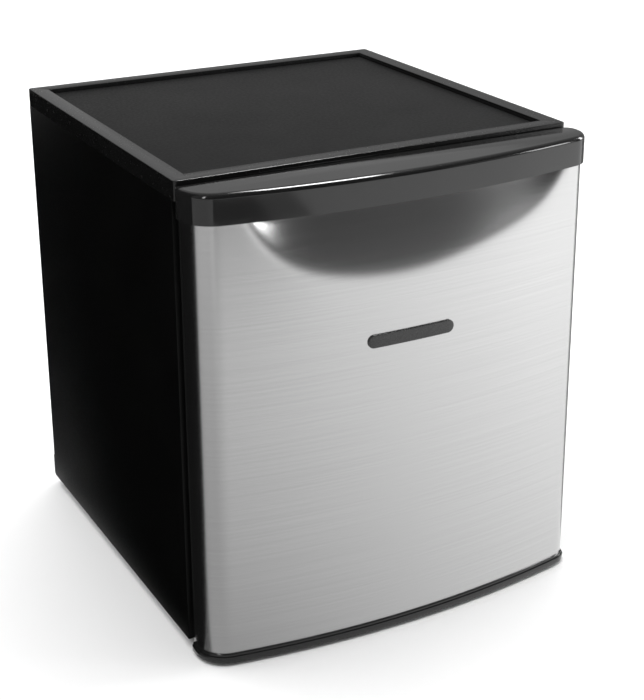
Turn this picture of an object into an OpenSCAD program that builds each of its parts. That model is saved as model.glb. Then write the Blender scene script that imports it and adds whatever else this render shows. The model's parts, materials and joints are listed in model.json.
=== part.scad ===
// Compact cube refrigerator: black cabinet with a framed worktop and a bowed steel door.
// Frame: X to the right, Y to the back, Z up; origin on the floor under the middle of the box.

/* [Overall size] */
// Width of the cabinet and of the door
body_w = 450; // [446:1:470]
// Height of the cabinet, from its lower edge to the top of the worktop
cabinet_h = 500; // [490:1:530]
// Depth of the worktop, front to back
worktop_d = 430; // [425:1:450]
// How far the middle of the door stands in front of the worktop
door_d = 62; // [62:1:70]
// Height of the feet under the cabinet
foot_h = 12; // [12:1:16]

/* [Worktop] */
// Width of the raised rim round the worktop
rim_w = 19; // [14:1:24]
// Depth of the panel below the rim
recess = 5; // [3:0.5:6]

/* [Door] */
// Plan radius of the bowed front
bow_r = 1100; // [1000:50:1300]
// Plan radius of the front corner at the free end
door_corner_r = 35; // [33:1:36]
// How far the door stands past the cabinet at the hinge end
door_over = 7; // [6.5:0.5:7.5]
// Plan radius of the front corner at the hinge end
hinge_corner_r = 26; // [26:1:28]
// Height of the top cap
cap_h = 31; // [29:0.5:33]
// Height of the bottom trim
trim_h = 9; // [9:0.5:10]
// How far the steel stands back behind the cap and the trim
steel_inset = 3; // [2.8:0.1:3.4]
// How far the scoop goes in, under the middle of the cap
scoop_depth = 22; // [18:1:24]
// Height of the scoop below the cap, in the middle
scoop_h = 64; // [55:1:70]

/* [Inside] */
// Thickness of each insulated side wall
side_wall = 35; // [33:1:38]
// Height of the full-width shelf above the floor
full_shelf_z = 275; // [265:5:285]
// Height of the half-depth shelf above the floor
half_shelf_z = 350; // [340:5:355]

/* [Hidden] */
$fn = 48;
eps = 0.01;

// Planes of the whole box
rear_lip = 3;
total_d = door_d + worktop_d + rear_lip;
half_w = body_w / 2;
front_y = -total_d / 2;
back_y = total_d / 2;
worktop_y = front_y + door_d;
worktop_back_y = worktop_y + worktop_d;
base_z = foot_h;
top_z = foot_h + cabinet_h;
skirt_h = 20;
shell_z = top_z - skirt_h;

// Cabinet shell
sheet_t = 1;
overhang = 5.5;
cab_y = worktop_y + overhang;
cab_back_y = worktop_back_y - 2;
frame_w = 33;

// Cooled space
liner_t = 2;
liner_r = 25;
room_half = half_w - side_wall;
room_z0 = base_z + 40;
room_z1 = shell_z - 30;
room_back_y = cab_back_y - 37.5;
ledge_w = 8;
ledge_t = 7;
ledge_y0 = cab_y + 90;
ledge_y1 = room_back_y - 27;

// Compressor niche at the bottom of the back
niche_y = cab_back_y - 154.5;
niche_z = base_z + 154;
step_y = niche_y - 30;
step_z = niche_z + 29;
comp_x = 12;
comp_y = niche_y + 78;
comp_r = 64;
comp_z0 = base_z + 18;
comp_z1 = base_z + 128;

// Door
door_gap = 2;
door_back_y = worktop_y - door_gap;
bow_y = front_y + bow_r;
corner_x = half_w - door_corner_r;
corner_y = bow_y - sqrt(pow(bow_r - door_corner_r, 2) - pow(corner_x, 2));
door_right = half_w + door_over;
hinge_corner_x = door_right - hinge_corner_r;
hinge_corner_y = bow_y - sqrt(pow(bow_r - hinge_corner_r, 2) - pow(hinge_corner_x, 2));
hinge_rear_r = 12;
free_rear_r = 2;
cap_z1 = top_z - 4.5;
cap_z0 = cap_z1 - cap_h;
trim_z0 = base_z + 1 - trim_h;
trim_z1 = base_z + 1;
steel_t = 0.8;
tuck = 4;
cap_wall = steel_inset;
pocket_z = cap_z0 + 18;
scoop_tilt = atan(scoop_depth / scoop_h);
scoop_r = 1530;
liner_half = half_w - 18;

// Door bins
bin_half = 170;
cheek_t = 2.5;
rail_t = 2.5;
bin_z0 = room_z0 + 10;
bin_z1 = room_z1 - 10;
deep = 80;
mid = 62;
shallow = 36;
middle_bin_z = bin_z0 + 172;
upper_bin_z = bin_z0 + 293;

// Hinges: one upright axis near the right-hand end of the door
pin_x = corner_x + 26;
pin_y = corner_y - 12;
pin_r = 2.5;
bush_r = 4;
running_gap = 0.05;
plate_t = 3;
plate_half = 6;
door_open = 115;
side_gap = 0.5;

// Gasket
gasket_gap = 0.3;
gasket_x = half_w - 20;
gasket_w = 11;
gasket_z0 = room_z0 - 19;
gasket_z1 = room_z1 + 14;

// Thermostat
thermo_x0 = room_half - 42;
thermo_z0 = room_z1 - 88;
thermo_z1 = room_z1 - 28;
thermo_y0 = -20;
thermo_y1 = 75;
knob_x = room_half - 21;
knob_z = (thermo_z0 + thermo_z1) / 2;

// Feet
foot_x = half_w - 53;
foot_y = cab_y + 18;
stud_r = 4;

// A box between two corners, written as ranges along each axis
module slab(x, y, z) {
    translate([x[0], y[0], z[0]]) cube([x[1] - x[0], y[1] - y[0], z[1] - z[0]]);
}

// Extrudes a shape drawn in X and Z from y0 to y1
module along_y(y0, y1) {
    translate([0, y1, 0]) rotate([90, 0, 0]) linear_extrude(y1 - y0) children();
}

// Extrudes a shape drawn in Y and Z from x0 to x1
module along_x(x0, x1) {
    translate([x0, 0, 0]) rotate([90, 0, 90]) linear_extrude(x1 - x0) children();
}

// A rectangle with round corners, from its two ranges
module round_rect(x, z, r) {
    translate([x[0] + r, z[0]]) square([x[1] - x[0] - 2 * r, z[1] - z[0]]);
    translate([x[0], z[0] + r]) square([x[1] - x[0], z[1] - z[0] - 2 * r]);
    for (cx = [x[0] + r, x[1] - r], cz = [z[0] + r, z[1] - r]) translate([cx, cz]) circle(r);
}

// A straight rod between two points
module rod(a, b, r) {
    v = b - a;
    len = norm(v);
    translate(a) rotate([0, acos(v[2] / len), atan2(v[1], v[0])]) cylinder(r = r, h = len);
}

// A bent pipe through a list of points, with ball joints at its bends
module pipe(points, r) {
    for (i = [0 : len(points) - 2]) rod(points[i], points[i + 1], r);
    for (i = [1 : 1 : len(points) - 2]) translate(points[i]) sphere(r);
}

// A square channel round the same points, for a pipe laid in foam
module channel(points, half) {
    for (i = [0 : len(points) - 2]) {
        a = points[i];
        b = points[i + 1];
        low = [min(a[0], b[0]), min(a[1], b[1]), min(a[2], b[2])];
        high = [max(a[0], b[0]), max(a[1], b[1]), max(a[2], b[2])];
        translate(low - half * [1, 1, 1]) cube(high - low + 2 * half * [1, 1, 1]);
    }
}

// ---- Cabinet shell ----

// Raised rim, recessed floor and skirt of the worktop, one moulding
module worktop_frame() {
    floor_z = top_z - recess - 2.5;
    color("#1b1b1c") difference() {
        slab([-half_w, half_w], [worktop_y, worktop_back_y], [shell_z, top_z]);
        slab([-half_w + rim_w, half_w - rim_w], [worktop_y + rim_w, worktop_back_y - rim_w],
            [floor_z, top_z + 1]);
        difference() {
            slab([-half_w + 2.5, half_w - 2.5], [worktop_y + 2.5, worktop_back_y - 2.5],
                [shell_z - 1, floor_z - 2]);
            for (x = [-150, 0, 150], y = [worktop_y + 60, worktop_back_y - 60])
                translate([x, y, shell_z]) cylinder(r = 6, h = skirt_h);
        }
        slab([pin_x - plate_half - 1, pin_x + plate_half + 1], [worktop_y - 1, worktop_y + 3],
            [shell_z - 1, shell_z + plate_t + 0.5]);
    }
}

// Matte textured panel lying in the worktop frame
module worktop_panel() {
    color("#121213") slab([-half_w + rim_w + 0.2, half_w - rim_w - 0.2],
        [worktop_y + rim_w + 0.2, worktop_back_y - rim_w - 0.2],
        [top_z - recess - 2.5, top_z - recess]);
}

// Painted side sheet with a front and a back flange; side is -1 for left and 1 for right
module side_panel(side) {
    mirror([side < 0 ? 1 : 0, 0, 0]) {
        slab([half_w - sheet_t, half_w], [cab_y, cab_back_y], [base_z, shell_z]);
        slab([half_w - frame_w, half_w], [cab_y, cab_y + sheet_t], [base_z, shell_z]);
        slab([half_w - 11, half_w], [cab_back_y - sheet_t, cab_back_y], [niche_z, shell_z]);
    }
}

module side_panel_left() {
    color("#151516") side_panel(-1);
}

module side_panel_right() {
    color("#151516") side_panel(1);
}

// Sheet over the foam, with the flange that frames the opening at the top
module top_sheet() {
    color("#151516") difference() {
        union() {
            slab([-half_w + sheet_t, half_w - sheet_t], [cab_y + sheet_t, cab_back_y - sheet_t],
                [shell_z - sheet_t, shell_z]);
            slab([-half_w + frame_w, half_w - frame_w], [cab_y, cab_y + sheet_t],
                [room_z1 + liner_t, shell_z]);
        }
        for (p = screw_places) translate([p[0], p[1], shell_z - 2]) cylinder(r = 2, h = 3);
    }
}

// Bottom rail that frames the opening and holds the front feet and the lower hinge
module bottom_front_rail() {
    web_back_y = cab_y + 45;
    color("#151516") difference() {
        union() {
            slab([-half_w + frame_w, half_w - frame_w], [cab_y, cab_y + sheet_t],
                [base_z, room_z0 - liner_t]);
            slab([-half_w + sheet_t, half_w - sheet_t], [cab_y + sheet_t, web_back_y],
                [base_z, base_z + 2]);
            for (s = [-1, 1]) translate([s * foot_x, foot_y, base_z]) cylinder(r = 8, h = 14);
        }
        for (s = [-1, 1]) translate([s * foot_x, foot_y, base_z - 1]) cylinder(r = stud_r + 0.05, h = 30);
        for (p = screw_places) translate([p[0], p[1], base_z - 1]) cylinder(r = 2, h = 4);
    }
}

// Sheet under the foam, between the front rail and the niche
module bottom_panel() {
    color("#1c1c1d") slab([-half_w + sheet_t, half_w - sheet_t], [cab_y + 45, niche_y],
        [base_z, base_z + sheet_t]);
}

// Sheet that closes the back above the niche
module back_panel() {
    color("#202022") difference() {
        slab([-half_w + 11, half_w - 11], [cab_back_y - sheet_t, cab_back_y], [niche_z, shell_z]);
        for (x = [-195, 195], z = [niche_z + 20, shell_z - 20])
            translate([x, cab_back_y + 1, z]) rotate([90, 0, 0]) cylinder(r = 1.8, h = 4);
    }
}

// Bent sheet that forms the front wall and the ceiling of the compressor niche
module compressor_niche_sheet() {
    color("#8c8f92") difference() {
        union() {
            slab([-half_w + sheet_t, half_w - sheet_t], [niche_y, niche_y + sheet_t],
                [base_z + 1.5, niche_z]);
            slab([-half_w + sheet_t, half_w - sheet_t], [niche_y, cab_back_y - sheet_t],
                [niche_z - sheet_t, niche_z]);
        }
        niche_passages();
    }
}

// Floor of the niche, with the upright flange that stands proud of the back
module compressor_base() {
    color("#202022") difference() {
        union() {
            slab([-half_w + sheet_t, half_w - sheet_t], [niche_y, back_y], [base_z, base_z + 1.5]);
            slab([-half_w + sheet_t, half_w - sheet_t], [back_y - 1.5, back_y], [base_z, base_z + 26]);
        }
        for (p = grommet_places) translate([p[0], p[1], base_z - 1]) cylinder(r = 4, h = 4);
        translate([gland_x, back_y + 1, gland_z]) rotate([90, 0, 0]) cylinder(r = 6, h = 4);
    }
}

// Four screws in the corners of the back panel
module back_panel_screws() {
    color("silver") for (x = [-195, 195], z = [niche_z + 20, shell_z - 20])
        translate([x, cab_back_y, z]) rotate([90, 0, 0]) {
            cylinder(r = 1.8, h = 9);
            translate([0, 0, -1.8]) cylinder(r = 3.6, h = 1.8);
        }
}

// ---- Insulation and liner ----

// Outer surface of the moulded liner, with its front flange
module liner_envelope() {
    difference() {
        along_y(cab_y + sheet_t, room_back_y + liner_t)
            round_rect([-room_half - liner_t, room_half + liner_t],
                [room_z0 - liner_t, room_z1 + liner_t], liner_r + liner_t);
        slab([-half_w, half_w], [step_y + liner_t, back_y], [0, step_z - liner_t]);
    }
    along_y(cab_y + sheet_t, cab_y + sheet_t + liner_t)
        round_rect([-room_half - 8, room_half + 8], [room_z0 - 8, room_z1 + 8], liner_r + 8);
}

// Space inside the liner
module room() {
    difference() {
        along_y(cab_y - 1, room_back_y)
            round_rect([-room_half, room_half], [room_z0, room_z1], liner_r);
        slab([-half_w, half_w], [step_y, back_y], [0, step_z]);
    }
}

// White moulded liner with its shelf ledges and the step over the compressor
module inner_liner() {
    color("#f2f3f3") difference() {
        union() {
            difference() {
                liner_envelope();
                room();
            }
            for (s = [-1, 1], z = [full_shelf_z, half_shelf_z, full_shelf_z - 65])
                slab(s < 0 ? [-room_half - 1, -room_half + ledge_w] : [room_half - ledge_w, room_half + 1],
                    [ledge_y0, ledge_y1], [z - ledge_t, z]);
        }
        rod([0, room_back_y - 5, drain_z], [0, room_back_y + 5, drain_z], drain_r);
        rod([suction_x, room_back_y - 5, port_z], [suction_x, room_back_y + 5, port_z], 3);
        rod([capillary_x, room_back_y - 5, port_z], [capillary_x, room_back_y + 5, port_z], 1.2);
        rod([room_half - 5, lead_y, knob_z], [room_half + 5, lead_y, knob_z], 2.5);
    }
}

// Foam that fills the walls, with channels for the pipes laid in it
module foam_insulation() {
    color("#e9dfae") difference() {
        slab([-half_w + sheet_t, half_w - sheet_t], [cab_y + sheet_t, cab_back_y - sheet_t],
            [base_z + sheet_t, shell_z - sheet_t]);
        liner_envelope();
        slab([-half_w, half_w], [niche_y, back_y], [0, niche_z]);
        slab([-half_w, half_w], [cab_y, cab_y + 45], [base_z, base_z + 2]);
        for (s = [-1, 1]) translate([s * foot_x, foot_y, base_z]) cylinder(r = 8, h = 30);
        for (s = [-1, 1]) condenser_channels(s);
        slab([-half_w + 1, half_w - 1], [cab_back_y - 7.5, cab_back_y - 1],
            [condenser_top_z - 3, condenser_top_z + 3]);
        channel(drain_route, drain_r);
        channel(suction_route, 3);
        channel(capillary_route, 1.2);
        channel(lead_route, 2.5);
        for (x = [-195, 195], z = [niche_z + 20, shell_z - 20])
            slab([x - 2, x + 2], [cab_back_y - 10, cab_back_y], [z - 2, z + 2]);
    }
}

// ---- Cooling circuit ----

condenser_r = 2.4;
condenser_x = half_w - sheet_t - condenser_r;
run_gap = 50;
condenser_z = niche_z + 26;
run_count = 6;
condenser_top_z = condenser_z + run_gap * (run_count - 1);
run_y0 = cab_y + 45;
run_y1 = cab_back_y - 35;
bend_r = run_gap / 2;

// Half a ring in the plane of the side wall, joining two runs; side_y is 1 at the back
module condenser_bend(x, y, z, side_y) {
    translate([x, y, z + bend_r]) rotate([90, 0, 90]) rotate([0, 0, side_y > 0 ? -90 : 90])
        rotate_extrude(angle = 180) translate([bend_r, 0]) circle(condenser_r);
}

// The tube along one side wall: level runs joined by half rings
module condenser_side(side) {
    x = side * condenser_x;
    for (i = [0 : run_count - 1]) {
        z = condenser_z + i * run_gap;
        rod([x, run_y0, z], [x, run_y1, z], condenser_r);
        if (i < run_count - 1) condenser_bend(x, i % 2 == 0 ? run_y0 : run_y1, z, i % 2 == 0 ? -1 : 1);
    }
    // From the lowest run down into the niche
    pipe([[x, run_y1, condenser_z], [x, tail_y, condenser_z], [x, tail_y, stub_z],
        [side * tail_x, tail_y, stub_z]], condenser_r);
}

// Warm tube against the inside of both side walls, crossing over behind the liner
module condenser_tube() {
    x = condenser_x;
    y = cab_back_y - 4.5;
    color("#b5703c") {
        condenser_side(-1);
        condenser_side(1);
        for (s = [-1, 1]) {
            translate([s * x, run_y0, condenser_top_z]) sphere(condenser_r);
            translate([s * x, run_y1, condenser_top_z]) sphere(condenser_r);
            rod([s * x, run_y1, condenser_top_z], [s * x, y, condenser_top_z], condenser_r);
            translate([s * x, y, condenser_top_z]) sphere(condenser_r);
        }
        rod([-x, y, condenser_top_z], [x, y, condenser_top_z], condenser_r);
    }
}

// Room for the tube in the foam
module condenser_channels(side) {
    x = side < 0 ? [-half_w, -half_w + 6] : [half_w - 6, half_w];
    for (i = [0 : run_count - 1])
        slab(x, [run_y0 - 3, run_y1 + 3], [condenser_z + i * run_gap - 3, condenser_z + i * run_gap + 3]);
    for (i = [0 : run_count - 2]) {
        y = i % 2 == 0 ? run_y0 : run_y1;
        s = i % 2 == 0 ? -1 : 1;
        z = condenser_z + i * run_gap + bend_r;
        translate([x[0], y, z]) rotate([90, 0, 90]) difference() {
            cylinder(r = bend_r + 3, h = 6);
            translate([0, 0, -1]) cylinder(r = bend_r - 3, h = 8);
            translate([s > 0 ? -50 : 0, -50, -1]) cube([50, 100, 8]);
        }
    }
    slab(x, [run_y1, cab_back_y], [condenser_z - 3, condenser_z + 3]);
    slab(x, [tail_y - 3, tail_y + 3], [niche_z - 1, condenser_z]);
    slab(x, [run_y1, cab_back_y], [condenser_top_z - 3, condenser_top_z + 3]);
}

suction_x = -118;
capillary_x = -134;
port_z = room_z1 - 172;
plate_y = room_back_y - 15;
riser_y = cab_back_y - 12;
stub_z = comp_z0 + 75;
stub_out = comp_r + 10;
tail_y = cab_back_y - 15;
tail_x = condenser_x - 12;
suction_route = [[suction_x, plate_y, port_z], [suction_x, riser_y, port_z],
    [suction_x, riser_y, stub_z], [suction_x, comp_y + 20, stub_z],
    [comp_x - stub_out, comp_y + 20, stub_z]];
discharge_route = [[comp_x + stub_out, comp_y - 20, stub_z], [comp_x + stub_out + 36, comp_y - 20, stub_z],
    [comp_x + stub_out + 36, tail_y, stub_z], [tail_x, tail_y, stub_z]];
drier_x = -150;
drier_y = niche_y + 22;
drier_z = base_z + 60;
drier_route = [[-tail_x, tail_y, stub_z], [drier_x, tail_y, stub_z], [drier_x, tail_y, drier_z - 22],
    [drier_x, drier_y, drier_z - 22], [drier_x, drier_y, drier_z - 9]];
capillary_route = [[capillary_x, plate_y, port_z], [capillary_x, riser_y, port_z],
    [capillary_x, riser_y, niche_z - 14], [drier_x, riser_y, niche_z - 14],
    [drier_x, drier_y, niche_z - 14], [drier_x, drier_y, drier_z + 45]];
drain_r = 5;
drain_z = room_z1 - 244;
drain_route = [[0, room_back_y - 4, drain_z], [0, room_back_y + 19, drain_z],
    [0, room_back_y + 19, niche_z - 9]];
lead_y = 20;
lead_x = room_half + 14;
lead_z = base_z + 30;
lead_back_y = cab_back_y - 8;
lead_route = [[room_half - 14, thermo_y0 + 34, knob_z], [room_half - 14, lead_y, knob_z],
    [lead_x, lead_y, knob_z], [lead_x, lead_back_y, knob_z], [lead_x, lead_back_y, lead_z],
    [-110, lead_back_y, lead_z], [-110, comp_y, lead_z], [-110, comp_y, lead_z + 18],
    [comp_x - comp_r - 30, comp_y, lead_z + 18]];
gland_x = -150;
gland_z = base_z + 14;
grommet_places = [for (sx = [-1, 1], sy = [-1, 1]) [comp_x + sx * 78, comp_y + sy * 44]];

// Holes that the pipes need where they enter the niche
module niche_passages() {
    channel(suction_route, 3);
    channel(capillary_route, 1.2);
    channel(drain_route, drain_r);
    channel(lead_route, 2.5);
    for (s = [-1, 1])
        slab(s < 0 ? [-half_w, -half_w + 6] : [half_w - 6, half_w], [tail_y - 3, tail_y + 3],
            [niche_z - 5, niche_z + 5]);
}

// Return pipe from the evaporator to the compressor
module suction_tube() {
    color("#b5703c") pipe(suction_route, 3);
}

// Fine pipe from the drier to the evaporator
module expansion_capillary() {
    color("#b5703c") pipe(capillary_route, 1.2);
}

// Pipe from the compressor to the tube in the right-hand wall
module discharge_tube() {
    color("#b5703c") pipe(discharge_route, condenser_r);
}

// Sieve cartridge between the tube in the left-hand wall and the fine pipe, with its inlet pipe
module filter_drier() {
    color("#b5703c") {
        pipe(drier_route, condenser_r);
        translate([drier_x, drier_y, drier_z]) {
            translate([0, 0, -10]) cylinder(r1 = 3, r2 = 8, h = 10);
            cylinder(r = 8, h = 30);
            translate([0, 0, 30]) cylinder(r1 = 8, r2 = 3, h = 10);
            translate([0, 0, 40]) difference() {
                cylinder(r = 3, h = 10);
                translate([0, 0, 5]) cylinder(r = 1.2, h = 6);
            }
        }
    }
}

// Outer form of the welded shell, grown by a margin
module compressor_shell(grow) {
    translate([comp_x, comp_y, comp_z0]) rotate_extrude($fn = 96) intersection() {
        round_rect([-comp_r - grow, comp_r + grow], [-grow, comp_z1 - comp_z0 + grow], 28);
        translate([0, -grow]) square([200, 300]);
    }
}

// Hermetic compressor: two shell halves welded at a flange, with three pipe stubs
module compressor() {
    color("#161617") {
        compressor_shell(0);
        translate([comp_x, comp_y, comp_z0 + 58]) cylinder(r = comp_r + 3, h = 4, $fn = 96);
        for (p = [[-1, 20, 3], [1, -20, condenser_r], [-1, -34, 3]])
            rod([comp_x + p[0] * 40, comp_y + p[1], stub_z],
                [comp_x + p[0] * stub_out, comp_y + p[1], stub_z], p[2]);
    }
}

// Plate welded under the compressor, with a foot at each corner
module compressor_foot_plate() {
    color("#161617") difference() {
        translate([comp_x, comp_y, comp_z0 - 3]) linear_extrude(3)
            round_rect([-90, 90], [-55, 55], 10);
        for (p = grommet_places) translate([p[0], p[1], comp_z0 - 4]) cylinder(r = 5, h = 6);
    }
}

// Four rubber mounts between the foot plate and the niche floor
module compressor_grommets() {
    color("#0e0e0e") for (p = grommet_places) translate([p[0], p[1], 0]) difference() {
        union() {
            translate([0, 0, base_z + 1.5]) cylinder(r = 10, h = comp_z0 - 3 - base_z - 1.5);
            translate([0, 0, comp_z0 - 4]) cylinder(r = 5, h = 5);
            translate([0, 0, comp_z0]) cylinder(r = 8, h = 3);
        }
        translate([0, 0, base_z]) cylinder(r = 3, h = 40);
    }
}

// Four bolts through the rubber mounts, with washers
module compressor_bolts() {
    color("silver") for (p = grommet_places) translate([p[0], p[1], 0]) {
        translate([0, 0, base_z - 3]) cylinder(r = 3, h = comp_z0 + 6 - base_z + 3);
        translate([0, 0, comp_z0 + 3]) cylinder(r = 7, h = 1.2);
        translate([0, 0, comp_z0 + 4.2]) cylinder(r = 5, h = 3.5, $fn = 6);
        translate([0, 0, base_z - 3]) cylinder(r = 5.5, h = 3);
    }
}

// Cover over the start relay and the overload switch
module relay_cover() {
    color("#0e0e0e") difference() {
        slab([comp_x - comp_r - 30, comp_x - comp_r + 20], [comp_y - 26, comp_y + 26],
            [comp_z0 + 12, comp_z0 + 54]);
        compressor_shell(0.2);
    }
}

// Flat aluminium plate with the refrigerant channel pressed into it
module evaporator_plate() {
    z0 = drain_z + 19;
    z1 = room_z1 - 12;
    rows = 9;
    pitch = (z1 - z0 - 40) / (rows - 1);
    color("#c9ccd0") difference() {
        union() {
            slab([-150, 150], [plate_y, plate_y + 1.5], [z0, z1]);
            for (i = [0 : rows - 1])
                slab([-130, 130], [plate_y - 2.2, plate_y + 0.5], [z0 + 17 + i * pitch, z0 + 24 + i * pitch]);
            for (i = [0 : rows - 2])
                slab(i % 2 == 0 ? [123, 130] : [-130, -123], [plate_y - 2.2, plate_y + 0.5],
                    [z0 + 18 + i * pitch, z0 + 23 + (i + 1) * pitch]);
        }
        for (p = spacer_places) rod([p[0], plate_y - 5, p[1]], [p[0], plate_y + 5, p[1]], 2);
        rod([suction_x, plate_y, port_z], [suction_x, plate_y + 5, port_z], 3);
        rod([capillary_x, plate_y, port_z], [capillary_x, plate_y + 5, port_z], 1.2);
    }
}

spacer_places = [for (x = [-141, 141], z = [drain_z + 28, room_z1 - 21]) [x, z]];

// Four plastic spacers that hold the plate off the back wall
module evaporator_spacers() {
    color("white") for (p = spacer_places) difference() {
        rod([p[0], plate_y + 1.5, p[1]], [p[0], room_back_y, p[1]], 6);
        rod([p[0], plate_y, p[1]], [p[0], room_back_y + 1, p[1]], 2);
    }
}

// Four screws through the plate and its spacers
module evaporator_screws() {
    color("silver") for (p = spacer_places) {
        rod([p[0], plate_y - 0.1, p[1]], [p[0], room_back_y, p[1]], 2);
        rod([p[0], plate_y - 2.2, p[1]], [p[0], plate_y, p[1]], 4.5);
    }
}

// Trough under the plate that catches the meltwater
module drip_trough() {
    color("white") difference() {
        slab([-158, 158], [plate_y - 10, room_back_y], [drain_z - 9, drain_z + 14]);
        slab([-156, 156], [plate_y - 8, room_back_y - 2], [drain_z - 6, drain_z + 15]);
        rod([0, room_back_y - 4, drain_z], [0, room_back_y + 4, drain_z], drain_r);
    }
}

// Pipe from the trough down to the tray in the niche
module drain_tube() {
    bore = drain_r - 1.5;
    color("#d8d8d8") difference() {
        pipe(drain_route, drain_r);
        pipe(concat([drain_route[0] - [0, 2, 0]], [drain_route[1]], [drain_route[2] - [0, 0, 2]]), bore);
    }
}

// Tray on top of the compressor where the meltwater dries off
module evaporation_tray() {
    z0 = comp_z1 + 0.5;
    color("#101011") difference() {
        slab([comp_x - 60, comp_x + 60], [niche_y + 30, cab_back_y - 9], [z0, z0 + 14]);
        slab([comp_x - 58, comp_x + 58], [niche_y + 32, cab_back_y - 11], [z0 + 2, z0 + 15]);
    }
}

// Bush that a mains cord would pass through, in the flange of the base
module cord_gland() {
    color("#0e0e0e") translate([gland_x, back_y, gland_z]) rotate([90, 0, 0]) difference() {
        union() {
            cylinder(r = 6, h = 6);
            translate([0, 0, 1.5]) cylinder(r = 8, h = 3);
        }
        translate([0, 0, -1]) cylinder(r = 3.5, h = 12);
    }
}

// ---- Thermostat ----

// White box on the right-hand wall of the cooled space
module thermostat_housing() {
    color("#eceded") difference() {
        along_y(thermo_y0, thermo_y1)
            union() {
                round_rect([thermo_x0, room_half - 10], [thermo_z0, thermo_z1], 5);
                translate([thermo_x0 + 10, thermo_z0])
                    square([room_half - thermo_x0 - 10, thermo_z1 - thermo_z0]);
            }
        slab([thermo_x0 + 2, room_half + 1], [thermo_y0 + 2, thermo_y1 - 2], [thermo_z0 + 2, thermo_z1 - 2]);
        rod([knob_x, thermo_y0 - 1, knob_z], [knob_x, thermo_y0 + 4, knob_z], 3.6);
        rod([knob_x - 12, thermo_y1 - 4, knob_z], [knob_x - 12, thermo_y1 + 4, knob_z], 1.2);
    }
}

// Switch body behind the front of the box
module thermostat_body() {
    color("#8c8f92") difference() {
        slab([knob_x - 16, knob_x + 16], [thermo_y0 + 2, thermo_y0 + 34], [knob_z - 17, knob_z + 17]);
        rod([knob_x, thermo_y0 - 1, knob_z], [knob_x, thermo_y0 + 16, knob_z], 3 + running_gap);
    }
}

// Shaft that the knob turns
module thermostat_shaft() {
    color("#8c8f92") rod([knob_x, thermo_y0 - 12, knob_z], [knob_x, thermo_y0 + 15.5, knob_z], 3);
}

// Knob with a grip bar
module thermostat_knob() {
    color("#e0e1e2") difference() {
        union() {
            rod([knob_x, thermo_y0 - 6, knob_z], [knob_x, thermo_y0 - 0.5, knob_z], 17);
            slab([knob_x - 3.5, knob_x + 3.5], [thermo_y0 - 15, thermo_y0 - 5.5], [knob_z - 15, knob_z + 15]);
        }
        rod([knob_x, thermo_y0 - 12, knob_z], [knob_x, thermo_y0 + 1, knob_z], 3);
    }
}

// Sensing tube from the switch to the edge of the evaporator
module thermostat_capillary() {
    x = knob_x - 12;
    y = plate_y - 1.25;
    color("#b5703c") pipe([[x, thermo_y0 + 34, knob_z], [x, y, knob_z], [140, y, knob_z],
        [140, y, knob_z - 60]], 1.2);
}

// Cable from the switch to the relay, laid in the foam of the wall
module thermostat_lead() {
    color("#2a2a2c") pipe(lead_route, 2.5);
}

// ---- Shelves ----

wire_r = 1.5;
frame_r = 2.5;
shelf_gap = 0.3;

// Grid of wires in a rod frame, between two depths and at a height
module wire_shelf(y0, y1, z, wires) {
    x = room_half - 3.5;
    zc = z + frame_r + shelf_gap;
    corner = 8;
    color("#e6e7e8") {
        for (s = [-1, 1]) {
            rod([s * x, y0 + corner, zc], [s * x, y1 - corner, zc], frame_r);
            rod([-x + corner, s < 0 ? y0 : y1, zc], [x - corner, s < 0 ? y0 : y1, zc], frame_r);
        }
        for (sx = [-1, 1], sy = [-1, 1])
            translate([sx * (x - corner), sy < 0 ? y0 + corner : y1 - corner, zc])
                rotate([0, 0, sx > 0 ? (sy > 0 ? 0 : 270) : (sy > 0 ? 90 : 180)])
                    rotate_extrude(angle = 90) translate([corner, 0]) circle(frame_r);
        for (i = [1 : wires])
            rod([-x + i * 2 * x / (wires + 1), y0, zc + 0.6], [-x + i * 2 * x / (wires + 1), y1, zc + 0.6],
                wire_r);
        rod([-room_half + ledge_w + 1.5, (y0 + y1) / 2, zc - 1.2],
            [room_half - ledge_w - 1.5, (y0 + y1) / 2, zc - 1.2], frame_r - 0.6);
    }
}

module wire_shelf_full() {
    wire_shelf(ledge_y0 + 4, ledge_y1 - 2.5, full_shelf_z, 17);
}

module wire_shelf_half() {
    wire_shelf(ledge_y1 - 150, ledge_y1 - 2.5, half_shelf_z, 17);
}

// ---- Feet ----

// Screw foot at the front; side is -1 for left and 1 for right
module front_foot(side) {
    color("#0e0e0e") translate([side * foot_x, foot_y, 0]) {
        cylinder(r = 13, h = 7);
        cylinder(r = stud_r, h = base_z + 12);
    }
}

module front_foot_left() {
    front_foot(-1);
}

module front_foot_right() {
    front_foot(1);
}

// Two plastic feet under the niche floor
module rear_feet() {
    color("#0e0e0e") for (s = [-1, 1]) translate([s * (half_w - 20), niche_y + 60, 0]) {
        cylinder(r = 13, h = 5);
        cylinder(r = 9, h = base_z);
    }
}

// ---- Hinges ----

// Plan of a hinge plate: an arm with a round end at the pin and a wide foot on the cabinet
module hinge_plan() {
    translate([pin_x, pin_y]) circle(plate_half);
    translate([pin_x - plate_half, pin_y]) square([2 * plate_half, cab_y + 10 - pin_y]);
    translate([pin_x - plate_half - 22, cab_y + 2])
        square([2 * plate_half + 22, 34]);
}

screw_places = [for (x = [-20, -2], y = [10, 28]) [pin_x + x, cab_y + y]];

module hinge_plate(z) {
    difference() {
        translate([0, 0, z]) linear_extrude(plate_t) hinge_plan();
        translate([pin_x, pin_y, z - 1]) cylinder(r = pin_r, h = plate_t + 2);
        for (p = screw_places) translate([p[0], p[1], z - 1]) cylinder(r = 2, h = plate_t + 2);
    }
}

// Plate on top of the cabinet, under the worktop
module top_hinge_bracket() {
    color("#606367") hinge_plate(shell_z);
}

// Plate under the bottom rail
module bottom_hinge_bracket() {
    color("#606367") hinge_plate(base_z - plate_t);
}

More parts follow.
